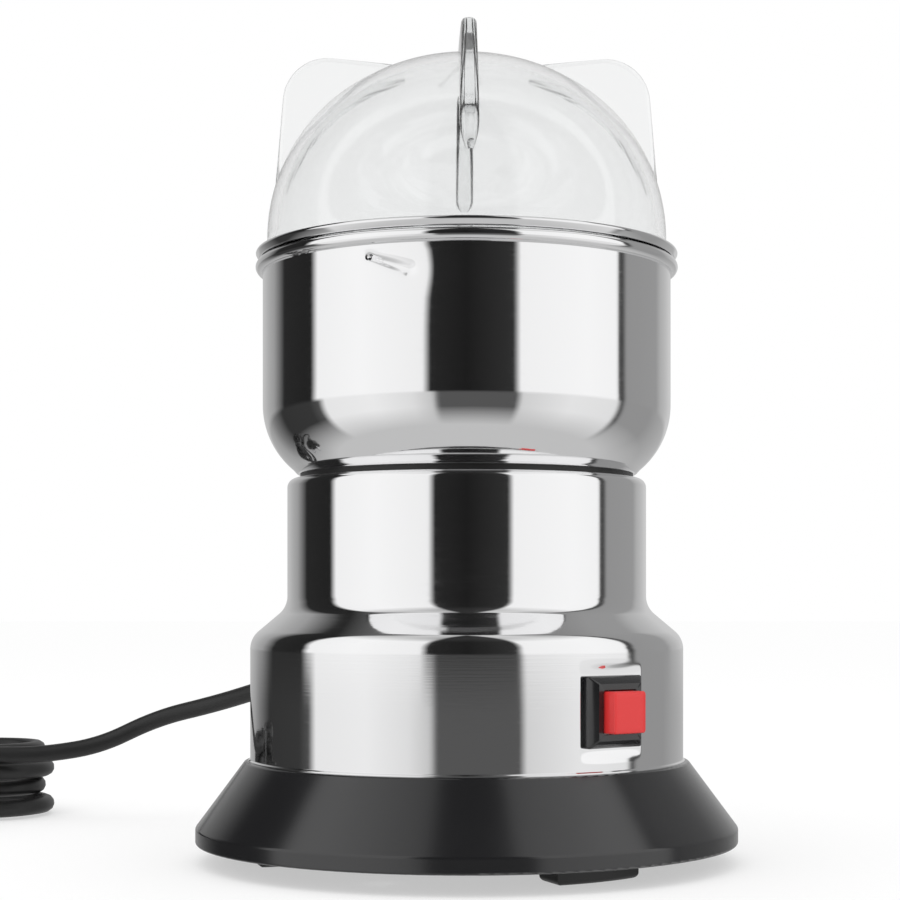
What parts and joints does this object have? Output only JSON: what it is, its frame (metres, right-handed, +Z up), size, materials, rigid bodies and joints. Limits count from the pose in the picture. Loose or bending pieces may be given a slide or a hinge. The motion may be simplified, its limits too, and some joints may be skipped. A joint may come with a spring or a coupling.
{
  "type": "electric grain mill",
  "caption": "Electric grain mill: clear finned bayonet lid on a steel bowl with crossed blades, stepped steel motor body with a red push switch, flared black base and a mains cord.",
  "frame": {"origin": "on the floor, on the shaft's axis", "axes": "+Z up along the shaft, -Y towards the viewer, the switch at the front right and the cord leaving at the back left"},
  "size_m": [0.2829, 0.1779, 0.1815],
  "materials": {
    "steel_polished": "polished",
    "steel_brushed": "satin",
    "plastic_black": "satin",
    "plastic_clear": "clear gloss",
    "plastic_red": "gloss",
    "plastic_grey": "matte",
    "rubber_black": "matte",
    "rubber_pale": "matte",
    "laminations": "varnished",
    "copper": "enamelled",
    "brass": "satin",
    "carbon": "matte"
  },
  "bodies": {
    "housing": {"base_skirt": "plastic_black", "base_plate": "plastic_black", "feet": "rubber_black", "cover_screws": "steel_brushed", "base_screws": "steel_brushed", "body_shell": "steel_polished", "bowl_gasket": "rubber_black", "bowl": "steel_polished", "bowl_hub": "plastic_black", "bowl_screws": "steel_brushed", "shaft_seal": "rubber_black", "motor_mount": "plastic_grey", "stator_core": "laminations", "field_coils": "copper", "lower_bracket": "plastic_grey", "stator_screws": "steel_brushed", "upper_bearing": "steel_brushed", "lower_bearing": "steel_brushed", "brushes": "carbon", "brush_holders": "brass", "brush_springs": "steel_brushed", "switch_housing": "plastic_black", "switch_spring": "steel_brushed", "switch_terminals": "brass", "strain_relief": "rubber_black", "cord_free": "rubber_black", "cord_hank": "rubber_black", "cord_tie": "plastic_black", "plug_body": "rubber_black", "plug_pins": "steel_brushed"},
    "rotor": {"bearing_inner_races": "steel_brushed", "motor_shaft": "steel_brushed", "armature_core": "laminations", "armature_winding": "copper", "commutator": "copper", "cooling_fan": "plastic_grey", "blade_collar": "plastic_black", "lower_blade": "steel_brushed", "blade_spacer": "steel_brushed", "upper_blade": "steel_brushed", "blade_washer": "steel_brushed", "blade_nut": "steel_polished"},
    "lid_band": {"lid_ring": "steel_polished"},
    "lid": {"lid": "plastic_clear", "lid_fins": "plastic_clear"},
    "button": {"switch_button": "plastic_red"}
  },
  "joints": [
    {"name": "rotor_spin", "type": "hinge", "parent": "housing", "child": "rotor", "pos_m": [0, 0, 0.09], "axis": [0, 0, 1], "continuous": true},
    {"name": "lid_lift", "type": "slide", "parent": "housing", "child": "lid_band", "axis": [0, 0, 1], "range_m": [0, 0.07]},
    {"name": "lid_turn", "type": "hinge", "parent": "lid_band", "child": "lid", "pos_m": [0, 0, 0.136], "axis": [0, 0, 1], "range_deg": [0, 16.4]},
    {"name": "button_press", "type": "slide", "parent": "housing", "child": "button", "axis": [-0.6239, 0.7815, 0], "range_m": [0, 0.0026], "stiffness_N_per_m": 350, "springref_m": -0.002, "deforming": ["switch_spring"]}
  ]
}
